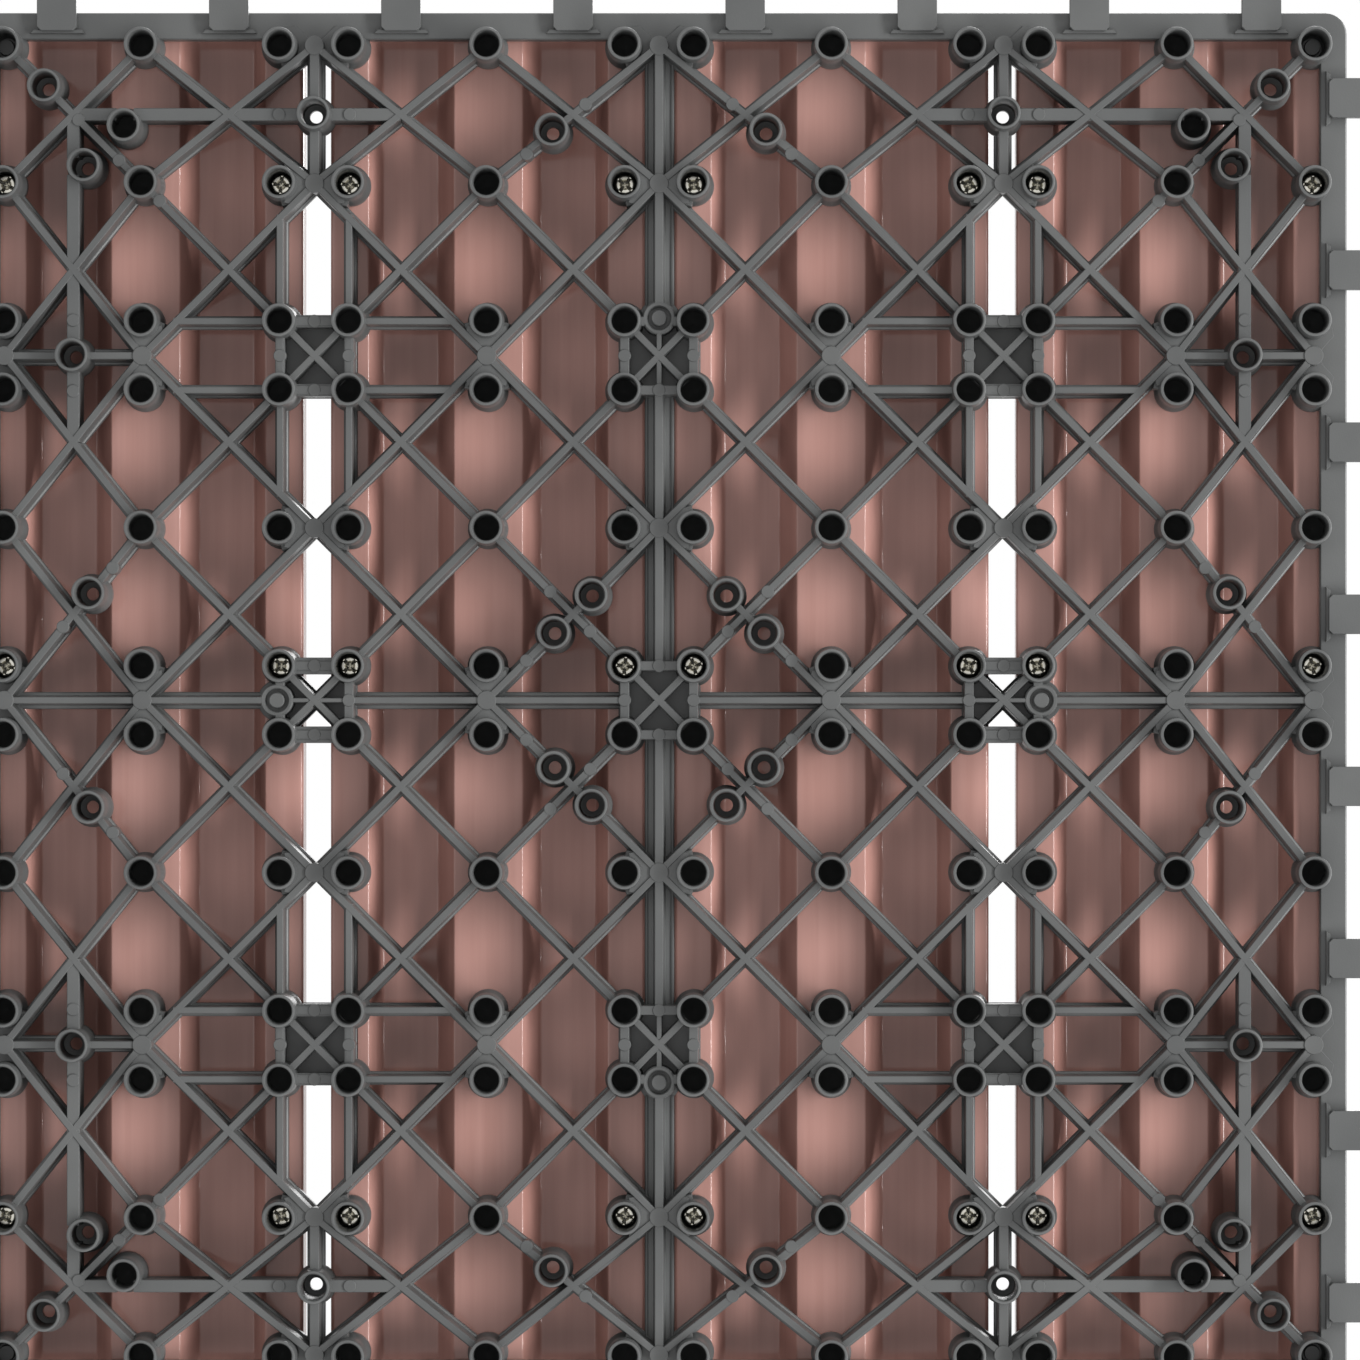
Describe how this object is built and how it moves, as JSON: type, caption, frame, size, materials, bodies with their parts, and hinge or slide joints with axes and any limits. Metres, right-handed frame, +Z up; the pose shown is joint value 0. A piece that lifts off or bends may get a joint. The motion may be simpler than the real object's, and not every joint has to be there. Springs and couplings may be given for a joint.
{
  "type": "interlocking deck tile",
  "caption": "Square outdoor deck tile: terracotta boards screwed to a moulded grid on hollow feet, with loops and pegs that join it to the next tile.",
  "frame": {"origin": "centre of the tile, on the ground plane that the feet stand on", "axes": "+Z up to the walking face; the boards run along Y; the loops stick out on the -Y and +X sides"},
  "size_m": [0.3086, 0.3086, 0.022],
  "materials": {
    "grid_plastic": "satin moulded",
    "board_composite": "matte wood composite",
    "screw_steel": "zinc plated"
  },
  "bodies": {
    "root": {"base_grid": "grid_plastic", "board_1": "board_composite", "screws_board_1": "screw_steel", "board_2": "board_composite", "screws_board_2": "screw_steel", "board_3": "board_composite", "screws_board_3": "screw_steel", "board_4": "board_composite", "screws_board_4": "screw_steel"}
  },
  "joints": []
}
